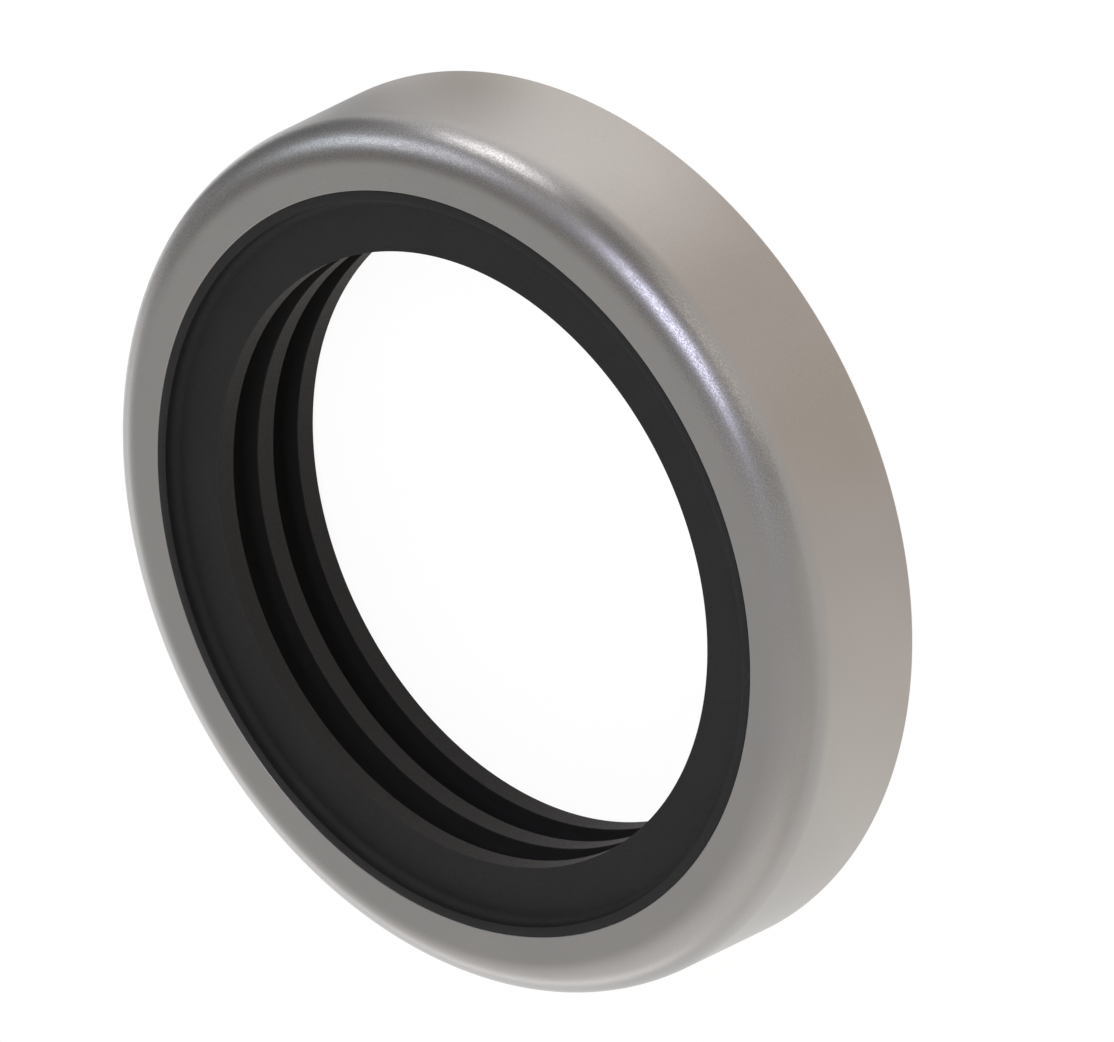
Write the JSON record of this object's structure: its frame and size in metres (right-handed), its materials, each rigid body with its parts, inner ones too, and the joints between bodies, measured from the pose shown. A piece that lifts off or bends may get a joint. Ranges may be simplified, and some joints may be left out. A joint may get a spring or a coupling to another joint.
{
  "type": "triple lip seal",
  "caption": "Metal-cased shaft seal ring: a pressed-steel cup with a bonded rubber element whose annular lips stand one behind another in the bore.",
  "frame": {"origin": "centre of the plane of the case's back edge, on the ring's axis, where the seal rests when laid down", "axes": "+Z along the ring's axis, from the case's back edge towards the front face of its flange; the ring is round, so X and Y are free"},
  "size_m": [0.0636, 0.0636, 0.0114],
  "materials": {
    "case_steel": "satin pressed sheet steel with a fine grain",
    "seal_rubber": "matt black moulded nitrile rubber"
  },
  "bodies": {
    "root": {"outer_case": "case_steel", "lip_element": "seal_rubber"}
  },
  "joints": []
}
